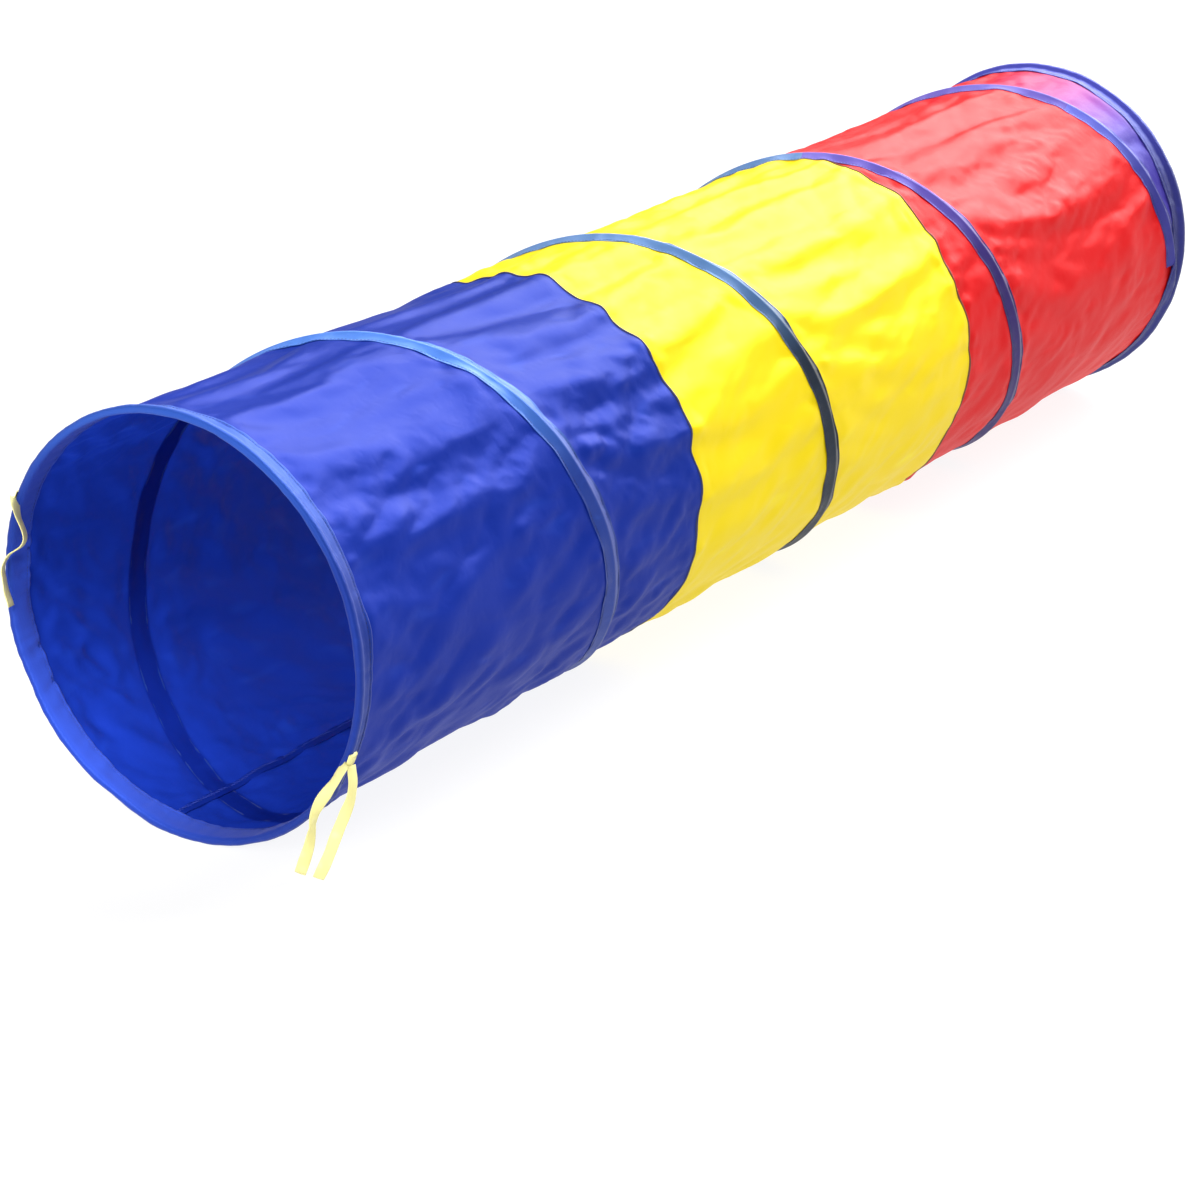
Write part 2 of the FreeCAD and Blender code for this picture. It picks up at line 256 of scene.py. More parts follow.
def rest_grid():
    """Angles and distances along for the grid, with a row pulled onto the coil in each column."""
    angles = np.repeat((np.arange(COLUMNS) * 360 / COLUMNS)[:, None], 3 * ROWS_PER_PANEL + 1, 1)
    along = np.repeat(cloth_rows()[None, :], COLUMNS, 0)
    spacing = along[0, 2] - along[0, 1]
    gap = coil_distance(angles, along)
    nearest = (np.abs(gap) <= spacing / 2) & (along > 0.03) & (along < LENGTH - 0.03)
    moved = along.copy()
    for i, j in zip(*np.nonzero(nearest)):
        near = np.arange(max(j - 5, 1), min(j + 6, along.shape[1] - 1))
        moved[i, near] -= gap[i, j] * np.exp(-((near - j) / 2.0) ** 2)
    return angles, moved, nearest


def on_tube(angles, along, radius):
    turned = np.radians(angles)
    return np.stack([
        radius * np.sin(turned),
        along - MIDDLE + 0 * turned,
        AXIS_HEIGHT + radius * np.cos(turned),
    ], -1)


def seeded(shape, seed):
    return np.random.default_rng(seed).standard_normal(shape)


def smooth_noise(shape, cell, seed):
    """Soft random field on a grid that closes on itself across, cell points wide."""
    field = seeded(shape, seed)
    across = np.fft.fftfreq(shape[0])[:, None]
    down = np.fft.fftfreq(shape[1])[None, :]
    keep = np.exp(-(across ** 2 + down ** 2) * (cell * 2.2) ** 2)
    field = np.fft.ifft2(np.fft.fft2(field) * keep).real
    return field / field.std()


def ramp(values, start, end):
    """Smoothly from 0 at start to 1 at end."""
    share = np.clip((values - start) / (end - start), 0, 1)
    return share * share * (3 - 2 * share)


def from_crown(angles):
    """Degrees from the crown, down either side."""
    return np.abs((angles + 180) % 360 - 180)


HOOP_EASE = 0.011               # spare cloth round the tunnel
LENGTH_EASE = 0.001             # and along it
TWIST = 0.02                    # how far the panels were sewn askew, as a shear
SIM_FRAMES = 22


def simulated_cloth():
    """Lets the cut cloth settle between the rings and the coil, and returns its points."""
    angles, along, on_coil = rest_grid()
    shape = angles.shape
    held = on_coil | (along < BINDING_WIDTH * 0.9) | (along > LENGTH - BINDING_WIDTH * 0.9)
    start = on_tube(angles, along, CLOTH_RADIUS + 0.0012 * smooth_noise(shape, 4, 3) * ~held)
    tube = mesh_object("cloth_work", start, grid_faces(*shape, closed_across=True))
    tube.shape_key_add(name="Basis")
    cut = tube.shape_key_add(name="cut")
    side = from_crown(angles)
    in_blue = along < PANEL_EDGES[1]
    slack = np.where(in_blue, 0.2 + 0.8 * ramp(side, 30, 60), 0.7)
    ease = HOOP_EASE * (1 + 0.5 * smooth_noise(shape, 14, 5)) * slack
    askew = np.degrees(TWIST * (along - MIDDLE) / CLOTH_RADIUS)
    flat = on_tube(angles + askew, MIDDLE + (along - MIDDLE) * (1 + LENGTH_EASE), CLOTH_RADIUS * (1 + ease))
    cut.data.foreach_set("co", flat.astype(np.float32).ravel())
    pins = tube.vertex_groups.new(name="sewn")
    pins.add([int(k) for k in np.nonzero(held.ravel())[0]], 1.0, "REPLACE")
    modifier = tube.modifiers.new("cloth", "CLOTH")
    settings = modifier.settings
    settings.quality = 5
    settings.mass = 0.12
    settings.tension_stiffness = 25
    settings.compression_stiffness = 25
    settings.shear_stiffness = 12
    settings.bending_stiffness = 0.4
    settings.air_damping = 2
    settings.vertex_group_mass = "sewn"
    settings.rest_shape_key = cut
    settings.effector_weights.gravity = 0.07
    modifier.point_cache.frame_start = 1
    modifier.point_cache.frame_end = SIM_FRAMES
    for step in range(1, SIM_FRAMES + 1):
        bpy.context.scene.frame_set(step)
    settled = tube.evaluated_get(bpy.context.evaluated_depsgraph_get())
    points = np.zeros(len(tube.data.vertices) * 3, np.float32)
    settled.data.vertices.foreach_get("co", points)
    bpy.context.scene.frame_set(1)
    bpy.data.objects.remove(tube)
    return angles, along, points.astype(float).reshape(*shape, 3)


SIDE_SEAM_ANGLE = 187.0
FINE_COLUMNS = 2 * COLUMNS
FINE_ROWS = 2 * ROWS_PER_PANEL


def settled_cloth():
    """The settled cloth on a regular grid: columns from the side seam round to it again."""
    angles, along, points = simulated_cloth()
    rows = [CLOTH_EDGE]
    for start, end in zip(PANEL_EDGES, PANEL_EDGES[1:]):
        rows += list(np.linspace(start, end, FINE_ROWS + 1)[1:])
    rows = np.array(rows)
    straight = np.stack([
        np.stack([np.interp(rows, along[i], points[i, :, k]) for k in range(3)], -1)
        for i in range(COLUMNS)
    ])
    for _ in range(2):
        soft = straight.copy()
        soft[:, 1:-1] = (straight[:, :-2] + 2 * straight[:, 1:-1] + straight[:, 2:]) / 4
        straight = soft
    halfway = (9 * (straight + np.roll(straight, -1, 0))
               - np.roll(straight, 1, 0) - np.roll(straight, -2, 0)) / 16
    ring = np.stack([straight, halfway], 1).reshape(FINE_COLUMNS, len(rows), 3)
    column_angles = SIDE_SEAM_ANGLE + np.arange(FINE_COLUMNS + 1) * 360 / FINE_COLUMNS
    place = column_angles % 360 / 360 * FINE_COLUMNS
    low = np.floor(place).astype(int) % FINE_COLUMNS
    share = (place - np.floor(place))[:, None, None]
    grid = ring[low] * (1 - share) + ring[(low + 1) % FINE_COLUMNS] * share
    return column_angles, rows, grid


column_angles, row_along, cloth_grid = settled_cloth()


def radial(angles):
    turned = np.radians(angles)
    return np.stack([np.sin(turned), 0 * turned, np.cos(turned)], -1)


def over_cloth(angles, along, lift):
    """Points that far above the settled cloth, at any angles and distances along."""
    angles, along = np.broadcast_arrays(np.asarray(angles, float), np.asarray(along, float))
    across = ((angles - SIDE_SEAM_ANGLE) % 360) / 360 * FINE_COLUMNS
    down = np.interp(along, row_along, np.arange(len(row_along)))
    i = np.minimum(np.floor(across).astype(int), FINE_COLUMNS - 1)
    j = np.minimum(np.floor(down).astype(int), len(row_along) - 2)
    a, b = (across - i)[..., None], (down - j)[..., None]
    place = ((1 - a) * (1 - b) * cloth_grid[i, j] + a * (1 - b) * cloth_grid[i + 1, j]
             + (1 - a) * b * cloth_grid[i, j + 1] + a * b * cloth_grid[i + 1, j + 1])
    return place + radial(angles) * np.asarray(lift)[..., None]


def streaks(shape, long_cell, short_cell, slant, seed):
    """Random field stretched along the tunnel, slanting that many degrees against the coil."""
    field = seeded((shape[0] - 1, shape[1]), seed)
    across = np.fft.fftfreq(shape[0] - 1)[:, None]
    down = np.fft.fftfreq(shape[1])[None, :]
    turn = math.radians(slant)
    along_fold = down * math.cos(turn) - across * math.sin(turn)
    over_fold = down * math.sin(turn) + across * math.cos(turn)
    keep = np.exp(-2.2 ** 2 * ((along_fold * long_cell) ** 2 + (over_fold * short_cell) ** 2))
    field = np.fft.ifft2(np.fft.fft2(field) * keep).real
    field = field / field.std()
    return np.concatenate([field, field[:1]], 0)


def crease(field):
    """Turns a soft field into facets that meet in sharp folds."""
    folded = np.abs(field)
    return folded - folded.mean()


# height, and then the long cell, short cell, slant and seed of the streaks
FINE_CREASES = ((0.0011, 7, 4, 20, 21), (0.0005, 4, 2.4, -30, 22))
BROAD_CREASES = ((0.0017, 26, 6, 16, 23), (0.0012, 14, 5, 35, 24))
CRUMPLED_AT = 238               # degrees round, where the cloth inside the near mouth is crumpled most
CRUMPLE_HEIGHT = 0.0030
SEAM_DIP = 0.0006               # how far the cloth sinks at a seam, and at most over an allowance


def crumpled(grid):
    """Adds the creases that are too fine for the simulation."""
    shape = grid.shape[:2]
    angles = column_angles[:, None] + 0 * row_along
    along = row_along[None, :] + 0 * angles
    side = from_crown(angles)
    fine = sum(height * crease(streaks(shape, *field)) for height, *field in FINE_CREASES)
    broad = sum(height * crease(streaks(shape, *field)) for height, *field in BROAD_CREASES)
    patches = 0.6 + 0.4 * np.clip(streaks(shape, 20, 20, 0, 25), -1.2, 1.5)
    in_blue = 1 - ramp(along, LENGTH / 3 - 0.005, LENGTH / 3 + 0.005)
    in_red = ramp(along, 2 * LENGTH / 3 - 0.005, 2 * LENGTH / 3 + 0.005)
    in_yellow = 1 - in_blue - in_red
    low = ramp(side, 28, 55)
    lift = fine * patches * (in_blue * (0.15 + 1.0 * low) + 0.3 * in_yellow + 0.9 * in_red)
    lift += broad * (in_blue * (0.15 + 0.85 * low) + 0.9 * in_yellow + 0.6 * in_red)
    # short gathers beside the seams, the coil's tape and the bindings
    gathers = streaks(shape, 9, 2.6, 4, 26)
    seam_gap = np.minimum(np.abs(along - LENGTH / 3), np.abs(along - 2 * LENGTH / 3))
    sewn_gap = np.minimum(np.abs(coil_distance(angles, along)), np.minimum(along, LENGTH - along) - 0.012)
    free = ramp(sewn_gap, 0.014, 0.040)
    lift *= free * (0.3 + 0.7 * ramp(seam_gap, 0.004, 0.05))
    lift += 0.0012 * gathers * np.exp(-((seam_gap - 0.012) / 0.010) ** 2) * ramp(sewn_gap, 0.014, 0.022)
    lift += 0.0008 * gathers * np.exp(-((sewn_gap - 0.024) / 0.010) ** 2) * ramp(sewn_gap, 0.014, 0.020)
    lift -= SEAM_DIP * np.exp(-(seam_gap / 0.006) ** 2)
    turned = (angles - CRUMPLED_AT + 180) % 360 - 180
    by_mouth = np.exp(-(turned / 42) ** 2) * ramp(along, 0.032, 0.056) * (1 - ramp(along, 0.08, 0.19))
    lift += CRUMPLE_HEIGHT * crease(streaks(shape, 9, 3.5, 50, 28)) * by_mouth * free
    over_allowance = (seam_gap < 0.015) | (np.abs(angles - SIDE_SEAM_ANGLE) < 4)
    lift = np.where(over_allowance, np.maximum(lift, -SEAM_DIP), lift)
    made = grid + radial(angles) * lift[..., None]
    wander = 0.0024 * smooth_noise((shape[0] - 1, shape[1]), 9, 27)
    wander = np.concatenate([wander, wander[:1]], 0)
    made[..., 1] += wander * np.exp(-(seam_gap / 0.025) ** 2) * ramp(sewn_gap, 0.014, 0.034)
    made[..., 2] = np.maximum(made[..., 2], FLOOR_CLEARANCE)
    return made


cloth_grid[..., 2] = np.maximum(cloth_grid[..., 2], FLOOR_CLEARANCE)
finished_cloth = crumpled(cloth_grid)


# Materials, from shader nodes

def new_material(name):
    material = bpy.data.materials.new(name)
    material.use_nodes = True
    return material, material.node_tree, material.node_tree.nodes["Principled BSDF"]


def finish_surface(tree, surface, tint, normal, roughness, metallic, gloss):
    tree.links.new(tint, surface.inputs["Base Color"])
    tree.links.new(normal, surface.inputs["Normal"])
    surface.inputs["Roughness"].default_value = roughness
    surface.inputs["Metallic"].default_value = metallic
    surface.inputs["Specular IOR Level"].default_value = gloss


def node(tree, kind, inputs, output=None, **settings):
    """Adds a shader node whose inputs are numbers, colours or other nodes' outputs, and gives its output."""
    made = tree.nodes.new(f"ShaderNode{kind}")
    for key, value in settings.items():
        setattr(made, key, value)
    for key, value in inputs.items():
        if isinstance(value, bpy.types.NodeSocket):
            tree.links.new(value, made.inputs[key])
        else:
            made.inputs[key].default_value = value
    return made.outputs[output or 0]


def mapped(tree, turn, stretch):
    """The cloth's own coordinates in metres, turned and stretched for a texture."""
    source = node(tree, "UVMap", {}, uv_map="cloth")
    return node(tree, "Mapping", {"Vector": source, "Rotation": (0, 0, math.radians(turn)),
                                  "Scale": (*stretch, 1)})


def ridges(tree, vector, scale, detail):
    return node(tree, "TexNoise", {"Vector": vector, "Scale": scale, "Detail": detail, "Roughness": 0.45,
                                   "Distortion": 0.35}, "Fac", noise_type="RIDGED_MULTIFRACTAL")


def bands(tree, vector, direction, period):
    waves_per_metre = 0.314 / period
    return node(tree, "TexWave", {"Vector": vector, "Scale": waves_per_metre, "Distortion": 0.6,
                                  "Detail": 1.0}, "Fac", bands_direction=direction)


def bump(tree, height, strength, distance, under=None):
    inputs = {"Height": height, "Strength": strength, "Distance": distance}
    if under is not None:
        inputs["Normal"] = under
    return node(tree, "Bump", inputs)


def calculated(tree, operation, first, second=0.0):
    """The result of a sum on a value and a number or another value."""
    return node(tree, "Math", {0: first, 1: second}, operation=operation)


def shaded(tree, driver, low, high, dark, light):
    """A colour that goes from dark to light as the driver goes from low to high."""
    colours = tree.nodes.new("ShaderNodeValToRGB")
    for element, place, colour in zip(colours.color_ramp.elements, (low, high), (dark, light)):
        element.position = place
        element.color = (*colour, 1)
    tree.links.new(driver, colours.inputs["Fac"])
    return colours.outputs["Color"]


def between(tree, value, zero_at, one_at):
    """0 to 1 as the value goes from one number to the other."""
    return node(tree, "MapRange", {"Value": value, "From Min": zero_at, "From Max": one_at},
                interpolation_type="SMOOTHSTEP")


def blended(tree, tint, share, other, how="MIX"):
    """The colour, turned into another one, or multiplied by it, where the share is 1."""
    mix = tree.nodes.new("ShaderNodeMix")
    mix.data_type = "RGBA"
    mix.blend_type = how
    tree.links.new(share, mix.inputs["Factor"])
    tree.links.new(tint, mix.inputs["A"])
    mix.inputs["B"].default_value = (*other, 1)
    return mix.outputs["Result"]


def turns_past_coil(tree, plain):
    """How many of the coil's turns lie between the mouth and each point of the cloth."""
    per_metre = (-1 / (TAU * CLOTH_RADIUS), 1 / PITCH, 0)
    turns = node(tree, "VectorMath", {0: plain, 1: per_metre}, "Value", operation="DOT_PRODUCT")
    return calculated(tree, "ADD", turns, -(SIDE_SEAM_ANGLE - COIL_START_ANGLE) / 360)


def under_the_tape(tree, plain):
    """1 where the coil's tape is sewn to the cloth and 0 elsewhere."""
    shifted = calculated(tree, "ADD", turns_past_coil(tree, plain), 2.5)
    phase = calculated(tree, "FRACT", shifted)
    gap = calculated(tree, "ABSOLUTE", calculated(tree, "SUBTRACT", phase, 0.5))
    turn_width = PITCH * math.cos(LEAD)
    return between(tree, gap, 0.0137 / turn_width, 0.0125 / turn_width)


def facing_share(tree, plain):
    """1 on the strip between the coil's last turn and the far rim, and fading out beyond the crown."""
    beyond = between(tree, turns_past_coil(tree, plain), 2.995, 3.0)
    crown = math.radians(360 - SIDE_SEAM_ANGLE) * CLOTH_RADIUS
    faded = between(tree, node(tree, "SeparateXYZ", {"Vector": plain}, "X"), crown - 0.10, crown + 0.20)
    return calculated(tree, "MULTIPLY", beyond, faded)


THREAD_SPACING = 0.0006
CLOTH_LUSTRE = 0.2              # share of metallic shine, which gives highlights of the cloth's own colour
TAPE_LUSTRE = 0.15
# painted shade: the cloth's colour is darkened under the coil's tape, where the tape blocks the light that
# comes through the cloth
PAINTED_SHADE_UNDER_TAPE = (0.75, 0.78, 0.90)


def woven_cloth(name, colour, shade, crinkle, through, gloss, roughness, facing=None):
    """Thin shiny polyester: a plain weave, fine crinkles with painted shade in their hollows, light that
    comes through it, and painted shade under the coil's tape.
    """
    material, tree, surface = new_material(name)
    plain = mapped(tree, 0, (1, 1))
    slanting = mapped(tree, -14, (1, 0.42))
    creases = ridges(tree, slanting, 38, 4)
    crumbs = ridges(tree, plain, 90, 2)
    warp = bands(tree, plain, "X", THREAD_SPACING)
    weft = bands(tree, plain, "Y", THREAD_SPACING)
    normal = bump(tree, calculated(tree, "MULTIPLY", warp, weft), 0.25, 0.00012)
    normal = bump(tree, crumbs, 0.5 * crinkle, 0.0012, normal)
    normal = bump(tree, creases, crinkle, 0.0035, normal)
    # painted shade and light: the colour is darker in the hollows of the crease bump and lighter on its
    # ridges
    tint = shaded(tree, creases, 0.15, 1.0, shade, colour)
    tint = blended(tree, tint, facing_share(tree, plain), facing) if facing else tint
    # painted shade under the coil's tape
    tint = blended(tree, tint, under_the_tape(tree, plain), PAINTED_SHADE_UNDER_TAPE, "MULTIPLY")
    finish_surface(tree, surface, tint, normal, roughness, CLOTH_LUSTRE, gloss)
    lit_through = node(tree, "BsdfTranslucent", {"Color": tint, "Normal": normal})
    mixed = node(tree, "MixShader", {"Fac": through, 1: surface.outputs["BSDF"], 2: lit_through})
    tree.links.new(mixed, tree.nodes["Material Output"].inputs["Surface"])
    return material


def tape_cloth(name, colour, shade, period, roughness=0.42, gloss=0.28, gloss_tint=(1, 1, 1), crown=None,
               inside=None):
    """A narrow ribbed tape; it may have a painted highlight, paler over the crown, and painted light, paler
    on a mouth's inner leg.
    """
    material, tree, surface = new_material(name)
    plain = mapped(tree, 0, (1, 1))
    patchy = ridges(tree, plain, 70, 3)
    normal = bump(tree, bands(tree, plain, "Y", period), 0.5, 0.0003)
    normal = bump(tree, patchy, 0.3, 0.001, normal)
    tint = shaded(tree, patchy, 0.1, 1.0, shade, colour)
    # painted highlight: the tape is blended to a paler colour where it runs over the top of the tunnel
    if crown:
        turned = node(tree, "SeparateXYZ", {"Vector": plain}, "Y")
        turned = calculated(tree, "DIVIDE", turned, WIRE_CIRCLE_RADIUS)
        turned = calculated(tree, "ADD", turned, math.radians(COIL_START_ANGLE))
        height = calculated(tree, "COSINE", turned)
        tint = blended(tree, tint, between(tree, height, 0.35, 0.95), crown)
    # painted light: the inner leg of the binding is made paler, for light that falls into the mouth
    if inside:
        across = node(tree, "SeparateXYZ", {"Vector": plain}, "X")
        tint = blended(tree, tint, between(tree, across, 0.029, 0.023), inside)
    finish_surface(tree, surface, tint, normal, roughness, TAPE_LUSTRE, gloss)
    surface.inputs["Specular Tint"].default_value = (*gloss_tint, 1)
    surface.inputs["Sheen Weight"].default_value = 0.1
    surface.inputs["Sheen Roughness"].default_value = 0.45
    return material


def speckled_material(name, colour, darkest, scale, detail, relief, roughness, metallic=0.0):
    """Thread or drawn wire: fine noise in its colour and its surface."""
    material, tree, surface = new_material(name)
    where = tree.nodes.new("ShaderNodeTexCoord").outputs["Object"]
    noise = node(tree, "TexNoise", {"Vector": where, "Scale": scale, "Detail": detail}, "Fac")
    dark = tuple(darkest * c for c in colour)
    tint = shaded(tree, noise, 0.3, 0.7, dark, colour)
    finish_surface(tree, surface, tint, bump(tree, noise, *relief), roughness, metallic, 0.5)
    return material


def thread_material(name, colour):
    return speckled_material(name, colour, 0.6, 900, 2, (0.5, 0.0002), 0.55)


def steel_material(name, colour, roughness):
    return speckled_material(name, colour, 0.7, 400, 3, (0.2, 0.0001), roughness, metallic=1.0)


def linear(red, green, blue):
    """A colour given as it looks on a screen, from 0 to 255, in linear light."""
    share = [c / 255 for c in (red, green, blue)]
    return tuple(c / 12.92 if c <= 0.04045 else ((c + 0.055) / 1.055) ** 2.4 for c in share)


LEAD = math.atan(PITCH / (TAU * WIRE_CIRCLE_RADIUS))

blue_cloth = woven_cloth(
    "blue_polyester", linear(34, 70, 188), linear(24, 54, 166),
    crinkle=0.42, through=0.32, gloss=0.10, roughness=0.42,
)
yellow_cloth = woven_cloth(
    "yellow_polyester", linear(252, 234, 10), linear(246, 220, 6),
    crinkle=0.22, through=0.10, gloss=0.13, roughness=0.44,
)
red_cloth = woven_cloth(
    "red_polyester", linear(234, 14, 20), linear(216, 8, 14),
    crinkle=0.42, through=0.10, gloss=0.15, roughness=0.46, facing=linear(64, 54, 158),
)
SKY_GLOSS = (0.62, 0.80, 1.0)
# the tape is thin, so the cloth under it changes its colour; each crown colour is a painted highlight over
# the top of the tunnel
sleeve_cloths = (
    tape_cloth("tape_on_blue", linear(26, 68, 164), linear(20, 54, 142), 0.0011, crown=linear(70, 124, 214)),
    tape_cloth("tape_on_yellow", linear(24, 42, 66), linear(18, 32, 50), 0.0011, crown=linear(84, 124, 178)),
    tape_cloth("tape_on_red", linear(56, 38, 122), linear(44, 28, 100), 0.0011, crown=linear(92, 78, 176)),
    tape_cloth("tape_on_lilac", linear(58, 58, 160), linear(46, 46, 134), 0.0011, crown=linear(96, 104, 208)),
)
# painted highlight: each binding's crown colour makes it paler over the top of its rim
near_binding_cloth = tape_cloth(
    "blue_binding", linear(27, 62, 164), linear(22, 50, 144), 0.0012, 0.46, 0.2, SKY_GLOSS,
    # painted light: the inside colour makes the near binding's inner leg paler, for light falling into the
    # mouth
    crown=linear(42, 84, 182), inside=linear(50, 80, 190),
)
far_binding_cloth = tape_cloth(
    "indigo_binding", linear(46, 44, 136), linear(36, 34, 112), 0.0012, 0.38, 0.5, SKY_GLOSS,
    crown=linear(70, 72, 178),
)
tie_cloth = tape_cloth("yellow_ribbon", linear(255, 252, 196), linear(246, 238, 160), 0.0010, 0.5)
navy_thread = thread_material("navy_thread", linear(30, 38, 92))
blue_thread = thread_material("blue_thread", linear(40, 64, 170))
brown_thread = thread_material("brown_thread", linear(116, 62, 30))
cream_thread = thread_material("cream_thread", linear(240, 232, 180))
spring_steel = steel_material("spring_steel", (0.50, 0.51, 0.53), 0.32)
crimped_steel = steel_material("crimped_steel", (0.58, 0.58, 0.60), 0.28)


for tail in tails:
    tail.data.materials.append(tie_cloth)


# Cloth panels

PANEL_NAMES = ("blue", "yellow", "red")
PANEL_CLOTH = (blue_cloth, yellow_cloth, red_cloth)


def closes_up(piece, body):
    """The piece rides on a body of the collapse and closes up with it, like the cloth does."""
    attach(piece, body)
    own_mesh(piece)


def panel_piece(number):
    first, last = number * FINE_ROWS, (number + 1) * FINE_ROWS
    points = finished_cloth[:, first:last + 1]
    across, down = points.shape[:2]
    u = np.radians(column_angles - SIDE_SEAM_ANGLE)[:, None] * CLOTH_RADIUS + 0 * row_along[first:last + 1]
    v = row_along[None, first:last + 1] + 0 * u
    piece = mesh_object(f"{PANEL_NAMES[number]}_cloth", points, grid_faces(across, down),
                        np.stack([u, v], -1), [PANEL_CLOTH[number]])
    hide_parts(f"{PANEL_NAMES[number]}_panel")
    closes_up(piece, f"{PANEL_NAMES[number]}_section")
    return piece


panels = [panel_piece(number) for number in range(3)]


# Strips sewn to the cloth: each follows a line and has its section given across it

TAPE_THICKNESS = 0.0006
TAPE_START_ALONG = 0.025
TAPE_HALF_WIDTH = 0.014
TAPE_OFFSETS = TAPE_HALF_WIDTH * np.array([
    -1.0, -0.97, -0.90, -0.82, -0.72, -0.60, -0.48, -0.36, -0.25, -0.15, -0.07, 0.0,
    0.07, 0.15, 0.25, 0.36, 0.48, 0.60, 0.72, 0.82, 0.90, 0.97, 1.0,
])
TAPE_FLAT = 0.0009              # half the width that lies on the wire
TAPE_SEWN_HEIGHT = 0.0008       # the tape's face over the cloth, where it is sewn
TAPE_LOWEST = 0.0002            # above the floor
STITCH_ROW = 0.0112
STITCH_PRESS = 0.0003           # how far its stitches pull the tape in
TAPE_OVER_WIRE = WIRE_CIRCLE_RADIUS + WIRE_RADIUS + TAPE_THICKNESS + 0.0003
LILAC_FROM = 270                # degrees round the last turn from which the tape lies on lilac cloth


CHANNEL_HEIGHT = 0.0046         # how far the tape stands over the cloth at the wire


def channel_height(offset):
    """How far the tape stands over the cloth beside the wire: it runs straight down to its stitches."""
    share = np.clip((np.abs(offset) - TAPE_FLAT) / (STITCH_ROW - TAPE_FLAT), 0, 1)
    return CHANNEL_HEIGHT * (1 - share) * (1 - 0.35 * share)


def on_tape(beside_coil):
    """1 over the coil's tape and 0 beside it, at distances from the coil's line."""
    return 1 - ramp(np.abs(beside_coil), 0.0138, 0.0165)


def line_noise(count, cell, seed):
    field = seeded(count, seed)
    keep = np.exp(-(np.fft.rfftfreq(count) * cell * 2.2) ** 2)
    field = np.fft.irfft(np.fft.rfft(field) * keep, count)
    return field / field.std()


def turn_angles(turn, start_along, step):
    """Angles of one turn of the coil, counted on from COIL_START_ANGLE."""
    clear = start_along / PITCH * 360
    first = max(360.0 * (turn - 1), clear)
    last = min(360.0 * turn, 360.0 * COIL_TURNS - clear)
    return np.linspace(first, last, int((last - first) / step) + 1)


def across_coil(progress, offset):
    """Angle and distance along of points beside the coil's line, offset in metres towards +Y."""
    angles = COIL_START_ANGLE + progress - np.degrees(offset * math.sin(LEAD) / WIRE_CIRCLE_RADIUS)
    along = progress / 360 * PITCH + offset * math.cos(LEAD)
    return angles, along


def on_turn(piece, turn, node_name=None):
    """The piece belongs to one turn of the coil."""
    if node_name:
        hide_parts(node_name)
    closes_up(piece, f"coil_turn_{turn}")
    return piece


def tape_turn(turn):
    """One turn of the tape, in the colour of the cloth under it."""
    progress = turn_angles(turn, TAPE_START_ALONG, 1.1)
    count = len(progress)
    offsets = TAPE_OFFSETS
    even_ends = ramp(progress - progress[0], 0, 9) * ramp(progress[-1] - progress, 0, 9)
    flutter = 0.00035 * line_noise(count, 4, 40 + turn) * even_ends
    edge = np.clip((np.abs(offsets) - STITCH_ROW) / (TAPE_HALF_WIDTH - STITCH_ROW), 0, 1)
    pucker = 0.0003 * streaks((count + 1, len(offsets)), 30, 1.5, 0, 50 + turn)[:count] * even_ends[:, None]
    sway = 0.0005 * line_noise(count, 9, 60 + turn) * even_ends
    section = there_and_back(len(offsets))
    under = np.repeat([0.0, TAPE_THICKNESS], len(offsets))
    moved = offsets[None, :] * (1 + sway[:, None] * 40) + sway[:, None]
    angles, along = across_coil(progress[:, None], moved)
    on_cloth = over_cloth(angles, along, 0.0) - np.array([0, 0, AXIS_HEIGHT])
    cloth_radius = np.hypot(on_cloth[..., 0], on_cloth[..., 2])
    lifted = channel_height(offsets) / channel_height(0.0)
    heights = TAPE_SEWN_HEIGHT + lifted * (TAPE_OVER_WIRE - TAPE_SEWN_HEIGHT - cloth_radius)
    heights += np.abs(flutter[:, None]) * edge + pucker * (1 - edge) * (1 - lifted)
    heights -= STITCH_PRESS * np.exp(-((np.abs(offsets) - STITCH_ROW) / 0.0007) ** 2)
    points = over_cloth(angles[:, section], along[:, section], heights[:, section] - under)
    points[..., 2] = np.maximum(points[..., 2], TAPE_LOWEST)
    u = offsets[section] + 0 * progress[:, None]
    v = np.radians(progress)[:, None] * WIRE_CIRCLE_RADIUS + 0 * u
    piece = mesh_object(f"coil_tape_turn_{turn}", points, section_faces(count, len(section)),
                        np.stack([u, v], -1), sleeve_cloths)
    cloth = np.clip(along.mean(1)[:-1] / (LENGTH / 3), 0, 2.99).astype(np.int32)
    cloth[progress[:-1] > 360 * (COIL_TURNS - 1) + LILAC_FROM] = 3
    cap = len(offsets) - 1
    number = np.append(np.repeat(cloth, len(section)), [cloth[0]] * cap + [cloth[-1]] * cap)
    piece.data.polygons.foreach_set("material_index", number.astype(np.int32))
    piece.data.set_sharp_from_angle(angle=math.radians(60))
    return on_turn(piece, turn, f"coil_sleeve_turn_{turn}")


STITCH_THICKNESS = 0.0005
# share of a stitch's length, its width there, and how far it stands out, in thicknesses
STITCH_RINGS = (
    (0.0, 0.25, -0.9), (0.12, 0.85, -0.1), (0.5, 1.0, 0.15), (0.88, 0.85, -0.1), (1.0, 0.25, -0.9),
)


